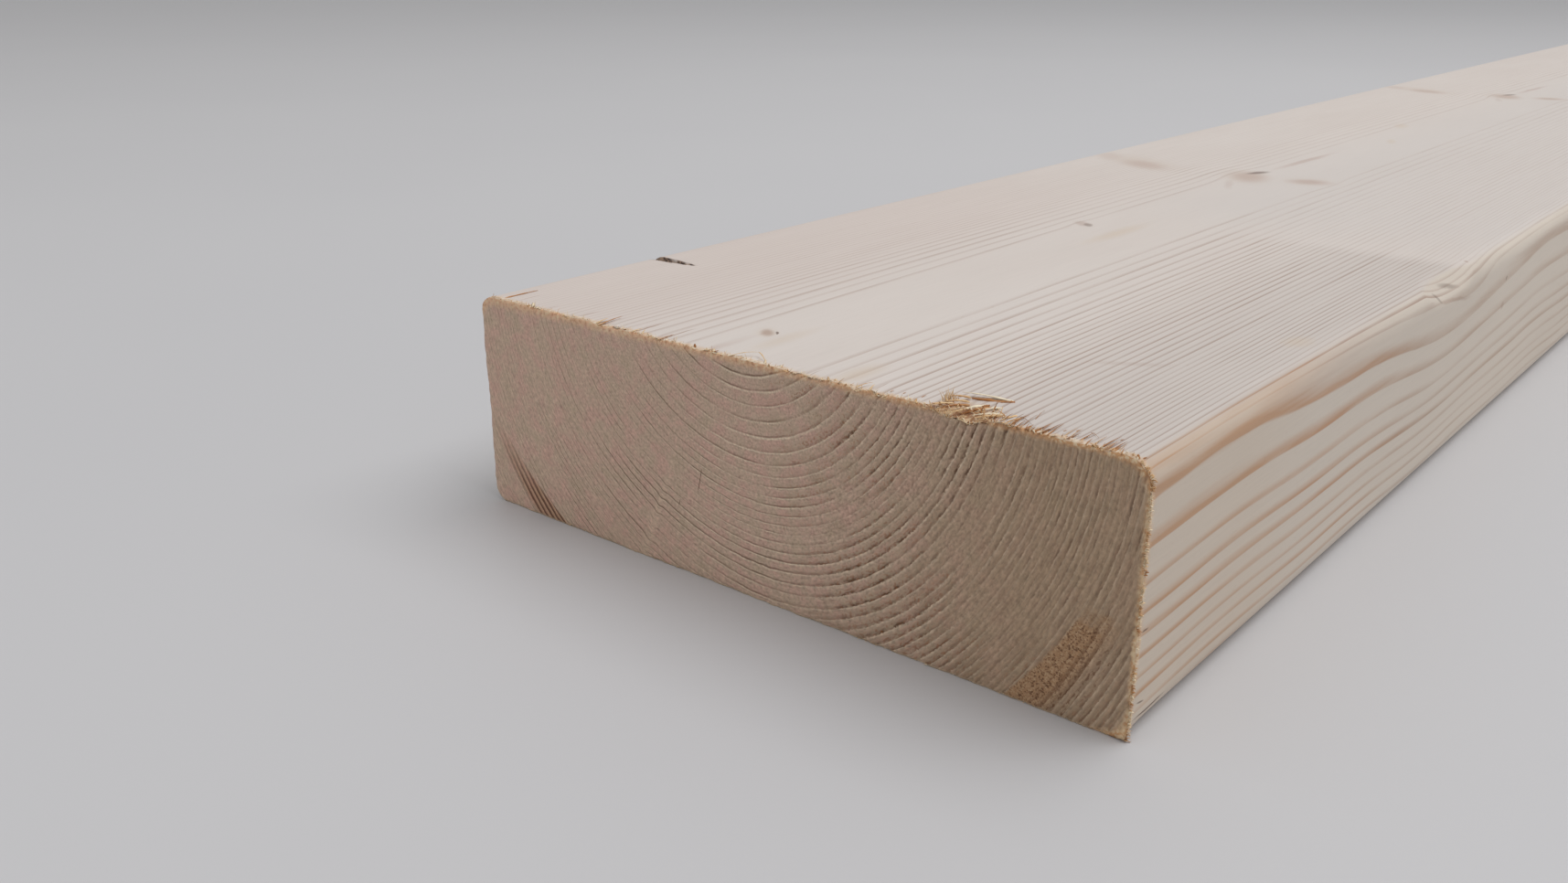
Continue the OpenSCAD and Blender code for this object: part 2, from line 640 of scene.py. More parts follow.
def season_of(years):
    """How strong the late wood of each year came out: a chance value from 0 to 1, alike on every face."""
    draw = whole(years) + season_draw
    return years.node("ShaderNodeTexWhiteNoise", {"noise_dimensions": "1D"}, {"W": draw})


centred = (0.5, 0.5, 0.5)


def unevenly(place, size, by):
    """The coordinates shifted a little here and there, so that drawn shapes come out uneven."""
    spread = stretched(place, size, 2 * size)
    cloud = place.node("ShaderNodeTexNoise", {}, {"Vector": spread, "Scale": 1.0}, 1)
    return place.vector("ADD", cloud.vector("SUBTRACT", centred).vector("SCALE", by))


strewn = (60.0, 30.0, 0.0)


def at_whorl(place, along):
    """The coordinates brought back to the first whorl. From the third on, the branches lie elsewhere."""
    whorl = whole((along - whorl_start) / whorl_step)
    chance = whorl.node("ShaderNodeTexWhiteNoise", {"noise_dimensions": "1D"}, {"W": whorl}, 1)
    elsewhere = chance.vector("SUBTRACT", centred).vector("MULTIPLY", strewn)
    elsewhere = elsewhere.vector("SCALE", between(whorl, 1.0, 2.0))
    back = whorl.node("ShaderNodeCombineXYZ", {}, {1: whorl * whorl_step})
    return place.vector("SUBTRACT", back).vector("SUBTRACT", elsewhere)


def planed_spruce():
    """The planed faces: cream early wood, pinkish tan late wood, knots, and fraying near the sawn ends."""
    material, surface, place, (x, y, z) = start_finish("planed_spruce")
    along = y - front
    drawn = unevenly(place, 2.5, 1)
    whorl_drawn = at_whorl(drawn, along)

    distance = swerved(place, ring_distance(x, along, z), swerves)
    distance = uneven_rings(swerved(whorl_drawn, distance, whorl_swerves))
    distance = distance + 0.24 * mottle(place, 4, 45) - 0.12
    years = ring_count(distance)
    year = years - whole(years)
    season = season_of(years)
    on_top = between(z, thick - 1, thick - 0.05)
    begins = 0.36 + 0.24 * (1 - season)
    begins = begins + on_top * (0.52 - begins)
    late = band(year, begins, 0.92, 0.94, 1) * between(years, 8, 9)

    near_zone = between(along + 0.05 * x, 160, 148)
    greyer = between(x, 5, 34) * near_zone
    fanned = between(oval(whorl_drawn, (-24, 238, top), (24, 14, 10)), 1.2, 0.3)
    top_lines = 0.18 + (0.24 - 0.14 * between(along, 110, 200)) * bell((x + 28) / 15)
    top_lines = top_lines + 0.06 * between(x, -2, 14) + 0.32 * greyer + 0.12 * fanned
    top_lines = top_lines - 0.04 * between(along, 150, 320)
    on_arris = between(z, 38.5, 41.5) * between(along, 30, 90)
    side_lines = 0.80 + 0.22 * between(along, 50, 20) - 0.32 * between(along, 80, 170)
    side_lines = side_lines * (1 - 0.3 * on_arris)
    lined = side_lines + on_top * (top_lines - side_lines)
    drift = between(mottle(place, 2.4, 40), 0.28, 0.70)
    seasonal = 0.55 + 0.85 * season + on_top * (0.2 - 0.4 * season)
    strength = late * seasonal * lined * (0.6 + 0.8 * drift)
    rounding = band(z, 38.4, 39.6, thick - 0.5, thick) * between(x, 69, 71)
    strength = greater(strength, (0.2 + 0.35 * drift) * rounding * between(along, 120, 40))

    patch = mottle(place, 24, 90, 3)
    fibre = mottle(place, 0.5, 18, 3)
    fleck = between(mottle(place, 0.30, 2.4, 1), 0.66, 0.80)

    top_base = blend(patch, colour(212, 201, 193), colour(220, 211, 204))
    pinker = 0.45 * between(x, -10, -42) * between(along, 260, 120)
    top_base = blend(pinker, top_base, colour(212, 197, 189))
    cooler = 0.5 * between(along, 140, 200) * between(x, -30, 10)
    top_base = blend(cooler, top_base, colour(207, 200, 195))
    # The side faces are warmer than the top, in their base and their late wood alike. This is partly the
    # wood's own tone where more late wood shows, and partly painted warm light on the sides.
    base = blend(on_top, blend(patch, colour(206, 194, 181), colour(215, 205, 193)), top_base)
    side_late = blend(between(along, 60, 140), colour(189, 148, 117), colour(180, 154, 134))
    late_colour = blend(greater(on_top, on_arris), side_late, colour(170, 145, 131))
    base = blend(lesser(strength, 1), base, late_colour)
    base = blend(0.2 * (1 - on_top) * between(along, 70, 30), base, colour(196, 170, 142))
    lit = 0.045 * (1 - on_top) * between(along, 110, 190)
    lit = lit - 0.11 * between(x, 22, 60) * near_zone * on_top
    base = toned(base, 0.945 + 0.11 * fibre + lit)
    base = blend(0.2 * fleck * (0.4 + late), base, colour(168, 132, 104))

    base = blend(strongest(drawn, tan_marks, 0.1), base, colour(206, 185, 160))
    base = blend(strongest(whorl_drawn, whorl_tan_marks, 0.1), base, colour(205, 189, 175))
    base = blend(strongest(drawn, brown_marks, 0.3), base, colour(164, 132, 114))
    base = blend(strongest(whorl_drawn, whorl_brown_marks, 0.2), base, colour(174, 141, 126))
    base = blend(strongest(drawn, dark_marks, 0.45), base, colour(98, 75, 60))
    base = blend(strongest(whorl_drawn, whorl_dark_marks, 0.3), base, colour(98, 72, 60))
    knot_place = unevenly(whorl_drawn, 5, 3.5)
    knot_colour = blend(fibre, colour(160, 116, 84), colour(196, 154, 120))
    for middle, half in whorl_knots:
        out = oval(knot_place, middle, half)
        base = blend(0.75 * between(out, 1.1, 0.75), base, knot_colour)
        base = blend((0.2 + 0.6 * patch) * bell((out - 1) / 0.13), base, colour(104, 74, 56))

    inwards = x + half_width
    bark = between(pocket_opening(inwards) + 0.45 - size_of(along - pocket_along), 0, 0.3)
    bark = bark * between(inwards, pocket_reach + 0.5, pocket_reach - 0.5)
    bark = bark * between(z, thick - pocket_depth - 2, thick - pocket_depth - 0.5)
    crumbled = between(mottle(place, 0.8, 0.5), 0.40, 0.60)
    base = blend(bark, base, blend(crumbled, colour(72, 54, 46), colour(158, 132, 112)))

    from_end = lesser(along, length - along)
    tuft = mottle(place, 0.8, 2.2, 2)
    frayed = between(from_end + 2 * tuft, 2.9, 0.9)
    frayed = frayed * (0.2 + 0.5 * greater(on_top, between(x, 66, 71)))
    fray_colour = blend(between(tuft, 0.42, 0.60), colour(216, 178, 138), colour(238, 216, 182))
    base = blend(frayed, base, fray_colour)
    torn = band(z, thick - 6, thick - arris, thick - 0.6, thick - 0.1)
    torn = torn * between(size_of(x), 66, 63) * between(from_end, 12, 9)
    torn_colour = blend(between(fibre, 0.4, 0.6), colour(176, 122, 78), colour(226, 196, 154))
    base = blend(0.8 * torn, base, torn_colour)

    height = 0.5 * fibre + 0.25 * late + frayed * tuft
    rough = 0.50 + 0.14 * fibre
    set_surface(surface, base, rough, height, 0.35, 0.00015, 0.35)
    return material


# Short radial checks on the front end: their turn about the pith, where they begin and end, and half width.
checks = [
    (-0.223, 41.5, 46.6, 0.13),
    (-0.002, 39.2, 40.5, 0.10),
    (-0.30, 50, 52.2, 0.10),
    (0.21, 47, 48.6, 0.10),
]

# Grains on the ends are drawn out along the rings, by the arc length at a middling radius.
middle_radius = 48


def sawn_spruce():
    """The sawn ends: brownish end grain, smooth on the left and torn into pits and ridges on the right."""
    material, surface, place, (x, y, z) = start_finish("sawn_spruce")
    along = y - front
    at_front = between(along, 4, 2)
    across = x - pith_x
    below = pith_z - z
    radius = root(across * across + below * below)
    turn = turn_of(across, below)

    wander = mottle(place, 3, 3)
    ray = bell((turn + 0.385) / 0.016) * between(radius, 34, 58) * at_front
    rightwards = between(x, 2, 22)
    far_right = between(x, 36, 56)
    crumbs = mottle(place, 0.5, 0.5, 2)
    distance = uneven_rings(ring_distance(x, along, z)) - 0.4 * ray + 0.3 * wander - 0.15
    distance = distance + 0.45 * rightwards * (1 - 0.4 * far_right) * (crumbs - 0.5)
    past, bend = past_narrowing(distance)
    pitch = 1 / (1 / inner_ring + 2 * (closer + 2 * slower * (past + bend)))
    years = ring_count(distance)
    year = years - whole(years)
    season = season_of(years)
    before_line = (1 - year) * pitch
    after_line = year * pitch

    leftwards = between(turn, -0.1, -0.45)
    arcwise = x.node("ShaderNodeCombineXYZ", {}, {0: distance, 1: turn * middle_radius, 2: 0.01 * along})
    fade = mottle(arcwise, 6, 16)
    patchy = between(fade, 0.32, 0.68)
    broken = between(mottle(arcwise, 0.55, 1.7), 0.40, 0.62)
    strokes = mottle(arcwise, 0.36, 2.2, 2)
    grains = mottle(arcwise, 0.40, 0.65, 2)
    smear = between(mottle(arcwise, 0.9, 9), 0.5, 0.72)
    blush = mottle(place, 4, 4)
    # The dark line that closes each year is partly the late wood's own darker tone and partly painted shadow
    # under its raised edge. The pale line after it is painted highlight on that raised edge, partly its own
    # paler tone. It is weakened round the left, where the edge faces away from the light.
    dark_line_and_shadow = bell((before_line - 0.14) / (0.12 + 0.17 * rightwards)) * (0.3 + 1.2 * patchy)
    dark_line_and_shadow = dark_line_and_shadow * (1 - 0.7 * rightwards + 0.8 * rightwards * broken) * (1 - 0.35 * far_right)
    dark_line_and_shadow = dark_line_and_shadow * (1 - 0.5 * between(turn, -0.62, -0.92))
    pale_line_and_highlight = bell((after_line - 0.10) / (0.12 + 0.08 * rightwards)) * (0.35 + 1.2 * patchy)

    base = blend(between(blush, 0.42, 0.66), colour(199, 174, 154), colour(204, 170, 154))
    base = blend(0.5 * between(blush, 0.44, 0.30), base, colour(188, 169, 145))
    # Darker and more olive towards the right: partly the wood's own tone, partly painted shade of the
    # rougher, torn surface there.
    base = blend(0.8 * between(x, 5, 62), base, colour(171, 146, 119))
    base = blend(0.3 * ray, base, colour(220, 198, 172))
    # Painted shadow along the dark lines and painted highlight along the pale ones, partly the late wood's
    # own tones.
    base = blend((0.18 + 0.40 * season + 0.18 * rightwards) * dark_line_and_shadow, base, colour(106, 79, 61))
    pale_highlight_strength = 0.92 - 0.66 * leftwards - 0.47 * rightwards - 0.25 * far_right
    base = blend(pale_highlight_strength * pale_line_and_highlight, base, colour(226, 206, 182))
    base = blend(0.22 * smear * (0.3 + 0.7 * rightwards), base, colour(120, 92, 66))
    torn_zone = band(turn, 0.12, 0.42, 0.7, 1) * between(year, 0.25, 0.65)
    torn_zone = torn_zone * between(fade + 0.4 * wander, 0.56, 0.80)
    base = blend(0.65 * torn_zone * between(grains, 0.49, 0.62), base, colour(134, 90, 62))
    base = blend(0.5 * torn_zone * between(grains, 0.46, 0.34), base, colour(222, 198, 166))
    shade = 1 + (0.48 + 0.3 * far_right) * (strokes - 0.5) + 0.4 * (crumbs - 0.5)
    shade = shade + (0.85 + 0.30 * rightwards - 0.4 * far_right) * (grains - 0.5)
    # The end's tone falls off towards the right: partly the wood's own tone, partly painted shade.
    base = toned(base, shade * (1.015 - 0.0009 * x))

    for at, start, end, half in checks:
        open_check = between(size_of(turn - at) * radius, half, 0.3 * half) * at_front
        open_check = open_check * band(radius, start, start + 0.8, end - 0.8, end)
        base = blend(0.8 * open_check, base, colour(86, 46, 34))

    # Brown stain in the late wood at the lower left, and a torn brown patch at the lower right.
    stained = band(distance, 76.4 + 0.33 * z, 77.4 + 0.33 * z, 82.4 + 0.1 * z, 84.6 + 0.1 * z)
    stained = stained * between(x, 0, -20) * between(z + 4 * wander, 22, 5) * at_front
    streak = band(year, 0.30, 0.60, 0.84, 1)
    stain_colour = blend(streak, colour(186, 128, 88), colour(92, 56, 38))
    base = blend(stained * (0.45 + 0.4 * streak), base, stain_colour)
    clods = mottle(place, 0.9, 0.9)
    beyond = distance - 75.9 - 0.08 * z + 0.9 * (clods - 0.5)
    corner = between(x, 40, 44) * at_front
    brown = band(beyond, -0.2, 0.3, 3, 6.5) * corner
    brown = brown * between(z + 6 * wander, 22.5, 19)
    specks = mottle(place, 0.32, 0.32, 2)
    streaked = between(beyond, 1.5, 4) * between(year, 0.45, 0.75)
    base = blend(brown * (0.45 + 0.4 * between(specks, 0.3, 0.55)), base, colour(180, 141, 105))
    base = blend(0.75 * brown * between(specks + 0.4 * (clods - 0.5), 0.53, 0.64), base, colour(88, 60, 46))
    base = blend(0.45 * brown * between(specks, 0.44, 0.34), base, colour(214, 184, 146))
    base = blend(0.5 * brown * streaked, base, colour(104, 70, 50))
    dashes = band(beyond, 4, 5, 7, 8.5) * between(z, 17, 13) * corner
    dashes = dashes * between(grains, 0.50, 0.60) * between(year, 0.35, 0.6)
    base = blend(0.6 * dashes, base, colour(100, 70, 50))

    # Fibres bruised and torn by the saw along the rim. On the top and right rims their golden tone is
    # brightened with painted light, where the ragged fibres catch the lamp.
    in_x = greater(size_of(x) - (half_width - arris), 0)
    in_z = greater(size_of(z - thick / 2) - (thick / 2 - arris), 0)
    inside = arris - root(in_x * in_x + in_z * in_z)
    top_rim = between(z, 38, 42.5)
    right_rim = between(x, 64, 70)
    fray_wide = 0.05 + 0.3 * between(z, 6, 2) + 0.6 * right_rim + (1.15 - 0.007 * x) * top_rim
    tuft = mottle(place, 0.8, 0.8, 3)
    frayed = between(inside / (fray_wide * (0.2 + 1.5 * tuft)), 1.6, 0.1)
    duller = between(x, -40, 60)
    # Fray colours brighter than the wood: partly fresh torn fibre, partly painted light caught by the raised
    # fibres.
    fray_colour = blend(duller, colour(238, 194, 156), colour(216, 164, 116))
    fray_colour = blend(between(tuft, 0.50, 0.66), fray_colour, colour(242, 216, 178))
    bruised = blend(duller, colour(204, 150, 110), colour(172, 122, 82))
    fray_colour = blend(between(tuft, 0.46, 0.34), fray_colour, bruised)
    paler = right_rim * (1 - top_rim) * between(clods, 0.40, 0.56)
    fray_colour = blend(0.6 * paler, fray_colour, colour(238, 216, 178))
    fray_colour = blend(greater(top_rim, right_rim), colour(220, 198, 168), fray_colour)
    base = blend(0.8 * frayed, base, fray_colour)

    height = 0.5 * strokes + 1.1 * grains + 0.5 * pale_line_and_highlight - 0.6 * dark_line_and_shadow + frayed * tuft
    rough = 0.72 + 0.2 * grains
    set_surface(surface, base, rough, height, 0.6, 0.00022, 0.2)
    return material


plank_mesh.materials.append(planed_spruce())
plank_mesh.materials.append(sawn_spruce())
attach(plank, "root")
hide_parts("plank")

# The torn fibres: slivers and fuzz of the same spruce that the saw lifted along the rims of the ends.
# They hang on by their roots, most of them on the top and right arrises of the front end.

strand_points = []
strand_faces = []
strand_tones = []
strand_spots = []
CREAM, GOLDEN, ORANGE = 0.05, 0.3, 0.65

# The flat layout of the fibres: a square of cells, one for each strand, with a small square for each face.
cells = 50
cell_square = np.array(((0.2, 0.2), (0.2, 0.8), (0.8, 0.8), (0.8, 0.2)))


def add_strand(path, wide, deep, tone, tip=0.12, ragged=0.0):
    """A flat tapering sliver along a path of points: x, along from the front end, and height, in mm."""
    path = np.array(path, float)
    steps = len(path)
    heading = np.gradient(path, axis=0)
    heading /= np.linalg.norm(heading, axis=1)[:, None]
    upwards = np.where(np.abs(heading[:, 2:]) > 0.8, (0.0, 1.0, 0.0), (0.0, 0.0, 1.0))
    sideways = np.cross(heading, upwards)
    sideways /= np.linalg.norm(sideways, axis=1)[:, None]
    outwards = np.cross(sideways, heading)
    taper = np.interp(np.linspace(0, 1, steps), (0, 0.25, 0.7, 1), (0.8, 1.0, 0.5 + 0.5 * tip, tip))
    taper = taper * (1 + ragged * np.sin(2.4 * np.arange(steps) + 9.0 * path[0, 0]))
    around = [sideways * wide / 2, outwards * deep / 2, -sideways * wide / 2, -outwards * deep / 2]
    rings = np.stack([path + taper[:, None] * offset for offset in around], 1)
    rings[:, :, 1] += front
    rings[:, :, 2] = np.maximum(rings[:, :, 2], 0.03)
    start = 4 * sum(len(block) for block in strand_points)
    cell = len(strand_points)
    corner = np.array((cell % cells, cell // cells)) / cells
    strand_points.append(rings)
    strand_tones.extend(np.repeat(tone + 0.12 * np.linspace(-0.5, 0.5, steps), 4))
    for step in range(steps - 1):
        for side in range(4):
            after = (side + 1) % 4
            square = [(step, side), (step + 1, side), (step + 1, after), (step, after)]
            strand_faces.append([start + 4 * row + column for row, column in square])
            share = (cell_square + (side, step)) / (4, steps - 1)
            strand_spots.extend(corner + (0.1 + 0.8 * share) / cells)
    for row, order in ((0, (0, 1, 2, 3)), (steps - 1, (3, 2, 1, 0))):
        strand_faces.append([start + 4 * row + column for column in order])
        strand_spots.extend([corner + 0.5 / cells] * 4)


def curve(start, end, rise, steps=5):
    """A path from start to end that bows upwards on its way."""
    share = np.linspace(0, 1, steps)[:, None]
    bow = np.array((0.0, 0.0, 1.0)) * rise * 4 * share * (1 - share)
    return np.array(start) + (np.array(end) - np.array(start)) * share + bow


# Slivers that can be told apart: root and tip (x, along, height over the top face),
# bow, width, depth and tone.
slivers = [
    ((-66, -0.1, 0), (-66, 9.4, 0.03), 0.06, 0.55, 0.3, ORANGE),
    ((-37.4, -0.1, -0.2), (-37, 5.4, 0.4), 0.1, 0.45, 0.2, ORANGE),
    ((-38.6, 0.2, -0.2), (-38, 2.8, 0.4), 0.1, 0.6, 0.12, GOLDEN),
    ((-28.8, -0.1, 0), (-28.5, 2.4, 0.2), 0.1, 0.4, 0.12, GOLDEN),
    ((-21.9, -0.1, -0.2), (-21.6, 3.4, 0.1), 0.05, 0.35, 0.12, ORANGE),
    ((-5, 0, 0), (-0.8, 3, 0.8), 0.3, 0.4, 0.12, GOLDEN),
    ((-0.9, 3, 0.8), (2.2, 1.2, 0.1), 0.3, 0.3, 0.12, GOLDEN),
    ((45.4, 10.6, -0.35), (36.9, 7.6, 0.5), 0.25, 1, 0.3, CREAM),
    ((45.6, 9.8, -0.7), (39, 7, 0.1), 0.15, 0.5, 0.95, ORANGE),
    ((45, 9.7, 0), (43.2, 8.3, -0.1), 0.05, 0.35, 0.45, 0.78),
    ((42.5, 6.4, -0.3), (40.3, 1.4, -0.3), 0.35, 1.2, 0.4, CREAM),
    ((43.1, 6, -0.45), (41, 1.2, -0.5), 0.3, 0.6, 0.6, ORANGE),
    ((42.8, 6, 0), (41.9, 4.3, -0.1), 0.05, 0.4, 0.35, 0.76),
    ((46.8, 4.4, -0.3), (43, 0.9, -0.2), 0.3, 1, 0.35, CREAM),
    ((47, 3.8, -0.35), (43.6, 0.5, -0.35), 0.25, 0.5, 0.5, 0.38),
    ((44.8, 7, -0.3), (42.4, 2.6, -0.2), 0.25, 0.7, 0.3, CREAM),
    ((48.5, 5.4, -0.25), (47.6, 1.2, -0.05), 0.2, 0.8, 0.3, 0.4),
    ((49.4, 4.8, -0.25), (48.8, 1, 0), 0.15, 0.5, 0.25, 0.5),
    ((38.9, 7, 0.1), (36.4, 4.6, 0.5), 0.2, 0.6, 0.35, 0.52),
    ((39.6, 5.4, 0), (37, 2.4, 0.3), 0.25, 0.8, 0.35, 0.45),
    ((40.4, 4.2, -0.1), (37.6, 1, -0.1), 0.25, 0.7, 0.4, ORANGE),
    ((41.2, 3.2, -0.3), (39.4, 0, -0.4), 0.2, 0.8, 0.35, GOLDEN),
    ((38.2, 3.4, 0), (36.2, 0.4, 0.1), 0.2, 0.6, 0.3, GOLDEN),
    ((36.8, 2.8, 0), (35.2, -0.1, -0.1), 0.15, 0.5, 0.25, 0.45),
    ((49, 3.4, 0), (49.3, 5.2, 0.3), 0.1, 0.12, 0.1, 0.85),
    ((51.4, 1.5, 0), (51, 6.2, 0.3), 0.2, 0.12, 0.1, 0.8),
    ((49.2, 4.2, 0.1), (52.4, 2.2, 0.1), 0.2, 0.11, 0.1, 0.85),
    ((51.4, 4.8, 0), (50.5, 9.1, 0.1), 0.2, 0.10, 0.08, 0.75),
    ((60.4, 4.9, 0), (62.5, 3.3, 0.1), 0.2, 0.09, 0.08, 0.7),
    ((58.5, 4, 0), (58.8, 4.8, 0.1), 0.05, 0.17, 0.10, 0.75),
    ((65.1, 4.6, 0), (65.4, 5.3, 0.1), 0.05, 0.16, 0.10, 0.75),
    ((70.2, 1, -0.5), (70.5, 2, -0.35), 0.05, 0.3, 0.12, 0.75),
    ((57.1, 2.8, 0), (57.3, 3.6, 0.1), 0.05, 0.14, 0.10, 0.7),
    ((27.4, 1.8, 0), (27.6, 2.6, 0.1), 0.05, 0.18, 0.10, 0.65),
    ((29.5, 2.3, 0), (29.6, 3, 0.1), 0.05, 0.16, 0.10, 0.65),
    ((32.7, 2.6, 0), (32.9, 3.7, 0.15), 0.05, 0.17, 0.10, 0.65),
    ((22, 0, 0), (23.2, 2.8, 0.4), 0.2, 0.35, 0.12, 0.5),
    ((24.6, 0, 0), (24.1, 2.2, 0.4), 0.2, 0.3, 0.12, GOLDEN),
]
top_lift = np.array((0.0, 0.0, thick))
for start, end, rise, wide, deep, tone in slivers:
    add_strand(curve(top_lift + start, top_lift + end, rise, 9), wide, deep, tone, 0.25, 0.3)

strand_dice = np.random.default_rng(23)

# Flakes torn loose in the deepest hollow, and the tuft of pale hairs that stands up beside it.
for spot, back, lean, rise, reach, hue in strand_dice.random((70, 6)):
    root_point = np.array((36.0 + 12.0 * spot, 0.3 + 3.6 * back, thick - 0.5 * (1 - back)))
    way = np.array((-1.0 + 1.5 * lean, -0.9 + 1.3 * rise, 0.1 + 0.5 * rise * hue))
    way *= (0.7 + 1.6 * reach) / np.linalg.norm(way)
    path = curve(root_point, root_point + way, 0.1, 5)
    add_strand(path, 0.1 + 0.28 * hue, 0.08 + 0.08 * lean, CREAM + 0.65 * reach, 0.2)
for spot, back, lean, rise, reach, hue in strand_dice.random((45, 6)):
    root_point = np.array((35.6 + 2.2 * spot, 3.2 + 2.2 * back, thick - 0.1))
    way = np.array((-0.5 + 0.9 * lean, -0.3 + 0.7 * rise, 0.9)) * (0.6 + 1.9 * reach * reach)
    path = curve(root_point, root_point + way, 0.1, 6)
    path[:, 0] += 0.2 * np.sin(np.linspace(0, 3 + 3 * hue, 6) + 6 * spot) * np.linspace(0, 1, 6)
    add_strand(path, 0.08 + 0.1 * hue, 0.07, 0.1 + 0.3 * hue)

# The fuzz is dealt out by chance: up to these values it stands on the top right corner, the top,
# the right and the bottom, and beyond them on the lower right corner. Late wood gives darker fuzz.
to_corner, to_top, to_right, to_bottom = 0.05, 0.62, 0.92, 0.97
top_fuzz_reach = half_width - 3.5
late_heights = np.array((40.5, 33.0, 27.0, 21.5, 18.0, 15.0, 12.0, 9.0, 6.0))


def fringe(count, at_front):
    """Fuzz and flakes along the rim of one end: thick on the top and right, and thin on the bottom."""
    for edge, spot, lean, back, rise, reach, thin, hue, keep in strand_dice.random((count, 9)):
        inwards = 0.6 * keep
        flake = thin < 0.2
        if edge < to_corner:
            bearing = 0.5 * math.pi * spot
            outer = np.array((math.sin(bearing), 0.0, math.cos(bearing)))
            root_point = np.array((half_width - arris, 0.7 * inwards, thick - arris))
            root_point += (arris - 0.15) * outer
            way = (0.2 + 0.6 * rise) * outer + np.array((lean - 0.5, -0.2 + 0.9 * back, 0.5 - lean))
            tone = CREAM + 0.6 * hue
            span = 0.3 + 0.6 * reach
        elif edge < to_top:
            x = top_fuzz_reach * (2.0 * spot - 1.0)
            if 0.5 + 0.5 * math.sin(x * 1.9) * math.sin(x * 0.71 + 1) < 0.75 * keep:
                continue
            off_top, _ = torn_away(np.array(x), np.array(thick), inwards, torn_hollows if at_front else [])
            root_point = np.array((x, inwards, thick - 0.08 - float(off_top)))
            way = np.array((1.4 * (lean - 0.5), -0.4 + 1.5 * back, 0.05 + (0.3 if flake else 0.8) * rise))
            tone = CREAM + 0.35 * hue if hue < 0.65 else 0.35 + 0.4 * keep
            span = 0.35 + 1.1 * reach * reach
        elif edge < to_right:
            z = 1.5 + 40.0 * spot
            late_wood = np.abs(late_heights - z).min() < 0.8
            root_point = np.array((half_width - 0.2, 0.7 * inwards, z))
            way = np.array((0.3 + 0.6 * rise, -0.1 + 0.9 * back, 0.9 * (lean - 0.5)))
            tone = 0.42 + 0.3 * hue if late_wood else CREAM + 0.2 * hue
            span = 0.3 + 0.45 * reach
        elif edge < to_bottom:
            root_point = np.array((-66.0 + 136.0 * spot, inwards, 0.15))
            way = np.array((1.4 * (lean - 0.5), -0.5 + back, 0.0))
            tone = CREAM + 0.3 * hue
            span = 0.3 + 0.4 * reach
        else:
            root_point = np.array((half_width - 1.2 * lean, inwards, 0.3 + 1.6 * spot))
            way = np.array((0.6 * rise, 0.9 * back, -0.3))
            tone = 0.42 + 0.25 * hue
            span = 0.4 + 0.6 * reach
        way *= span / np.linalg.norm(way)
        path = curve(root_point, root_point + way, 0.1 * rise, 4)
        if not at_front:
            path[:, 1] = length - path[:, 1]
        wide = 0.3 + 0.45 * keep if flake else 0.06 + 0.10 * thin
        add_strand(path, wide, 0.10 if flake else 0.07, tone, 0.45 if flake else 0.15)


fringe(1700, True)
fringe(420, False)

# Thin slivers that lie back over the top face, right of the deepest hollow.
for spot, reach, lean, hue in strand_dice.random((46, 4)):
    root_point = np.array((46.5 + 21.5 * spot, 0.1, thick))
    way = np.array((1.2 * (lean - 0.5), 1.2 + 4.5 * reach * reach, 0.1 + 0.25 * hue))
    add_strand(curve(root_point, root_point + way, 0.1, 6), 0.12 + 0.2 * lean, 0.12, 0.45 + 0.4 * hue)

strand_mesh = bpy.data.meshes.new("torn_fibres")
strand_mesh.from_pydata((np.concatenate(strand_points).reshape(-1, 3) * MM).tolist(), [], strand_faces)
strand_mesh.polygons.foreach_set("use_smooth", [True] * len(strand_faces))
point_tones = strand_mesh.attributes.new("tone", "FLOAT", "POINT")
point_tones.data.foreach_set("value", np.array(strand_tones, np.float32))
strand_layout = strand_mesh.uv_layers.new(name="OFBake")
strand_layout.uv.foreach_set("vector", np.array(strand_spots, np.float32).ravel())
strand_mesh.update()
strands = bpy.data.objects.new("torn_fibres", strand_mesh)
bpy.context.collection.objects.link(strands)


def torn_fibre():
    """Freshly torn spruce: cream to golden fuzz, orange where it split, dark where it is bruised."""
    material, surface, place, _ = start_finish("torn_fibre")
    tone = place.node("ShaderNodeAttribute", {"attribute_name": "tone"}, output=2)
    streaks = mottle(place, 0.15, 0.6, 2)
    base = blend(between(tone, 0, 0.35), colour(245, 232, 206), colour(232, 197, 150))
    base = blend(between(tone, 0.35, 0.7), base, colour(182, 126, 80))
    base = blend(between(tone, 0.7, 1), base, colour(84, 62, 50))
    base = toned(base, 0.8 + 0.4 * streaks)
    set_surface(surface, base, 0.6 + 0.2 * streaks, streaks, 0.3, 0.0001, 0.25)
    return material


strand_mesh.materials.append(torn_fibre())
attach(strands, "root")

# The floor: a plain pale board with a smooth matt finish, wide enough to fill the view.
# The plank lies loose on it, and it is no piece of the part.

floor_half = 9.0
floor_corners = [(-floor_half, -floor_half, 0), (floor_half, -floor_half, 0),
                 (floor_half, floor_half, 0), (-floor_half, floor_half, 0)]
floor_mesh = bpy.data.meshes.new("floor")
floor_mesh.from_pydata(floor_corners, [], [(0, 1, 2, 3)])
floor = bpy.data.objects.new("floor", floor_mesh)
bpy.context.collection.objects.link(floor)


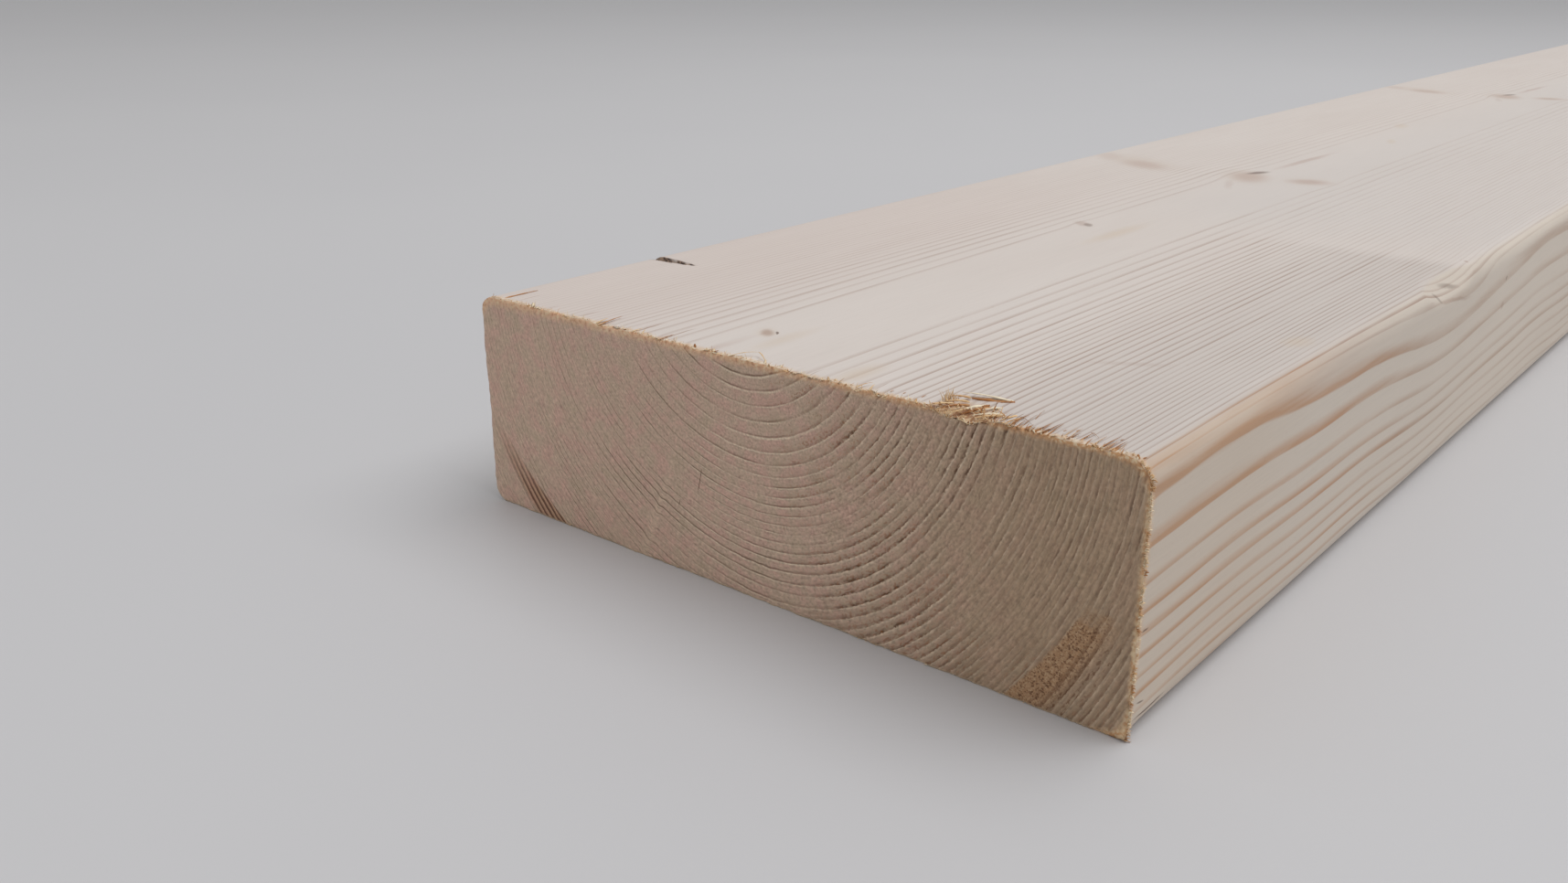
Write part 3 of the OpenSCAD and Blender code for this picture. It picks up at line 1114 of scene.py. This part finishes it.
def pale_board():
    """The floor's finish: a cool light grey, faintly clouded and gritty."""
    material, surface, place, _ = start_finish("pale_board")
    cloud = mottle(place, 300, 300)
    grit = mottle(place, 0.8, 0.8)
    base = blend(cloud, colour(200, 199, 201), colour(205, 204, 205))
    set_surface(surface, base, 0.5 + 0.1 * cloud, grit, 0.05, 0.0001, 0.5)
    return material


floor_mesh.materials.append(pale_board())

# Soft studio light: an even sky, warmer below than above, and one broad square lamp.
# The lamp hangs high up to the right and leans towards the front end.

lamp_place = (0.7, -0.3, 1.9)
lamp_lean = Euler((math.radians(-14), math.radians(16), 0))
lamp_side = 1.6
sky = bpy.data.worlds.new("sky")
bpy.context.scene.world = sky
sky.use_nodes = True
background = sky.node_tree.nodes["Background"]
heading = Shade(sky.node_tree).node("ShaderNodeTexCoord", output="Generated")
upwards = heading.node("ShaderNodeSeparateXYZ", {}, {0: heading}, 2)
glow = blend(between(upwards, -0.1, 0.8), (1.0, 0.94, 0.87, 1.0), (0.95, 0.97, 1.0, 1.0))
sky.node_tree.links.new(glow.socket, background.inputs["Color"])
background.inputs["Strength"].default_value = 0.54

lamp = bpy.data.lights.new("broad_lamp", "AREA")
lamp.shape = "RECTANGLE"
lamp.size = lamp_side
lamp.size_y = lamp_side
lamp.energy = 22.5
lamp_holder = bpy.data.objects.new("broad_lamp", lamp)
lamp_holder.matrix_world = Matrix.Translation(lamp_place) @ lamp_lean.to_matrix().to_4x4()
bpy.context.collection.objects.link(lamp_holder)

# The camera stands low before the front end, a little to its right, and looks down along the plank.
# Its place in metres, its turns in degrees and its lens in pixels are fitted to the plank's edges.

camera_place = (0.1436, front * MM - 0.1602, 0.1091)
look_down = 20.25
look_left = 40.42
roll = -0.18
lens_pixels = 1468.7
image_width = 1715
sensor_width = 36.0
camera = bpy.data.cameras.new("camera")
camera.sensor_width = sensor_width
camera.lens = sensor_width * lens_pixels / image_width
camera.clip_start = 0.01
camera_holder = bpy.data.objects.new("camera", camera)
view_turn = Euler((math.radians(90 - look_down), 0, math.radians(look_left))).to_matrix().to_4x4()
view_roll = Matrix.Rotation(math.radians(roll), 4, "Z")
camera_holder.matrix_world = Matrix.Translation(camera_place) @ view_turn @ view_roll
bpy.context.collection.objects.link(camera_holder)
bpy.context.scene.camera = camera_holder
bpy.context.scene.view_settings.view_transform = "Standard"
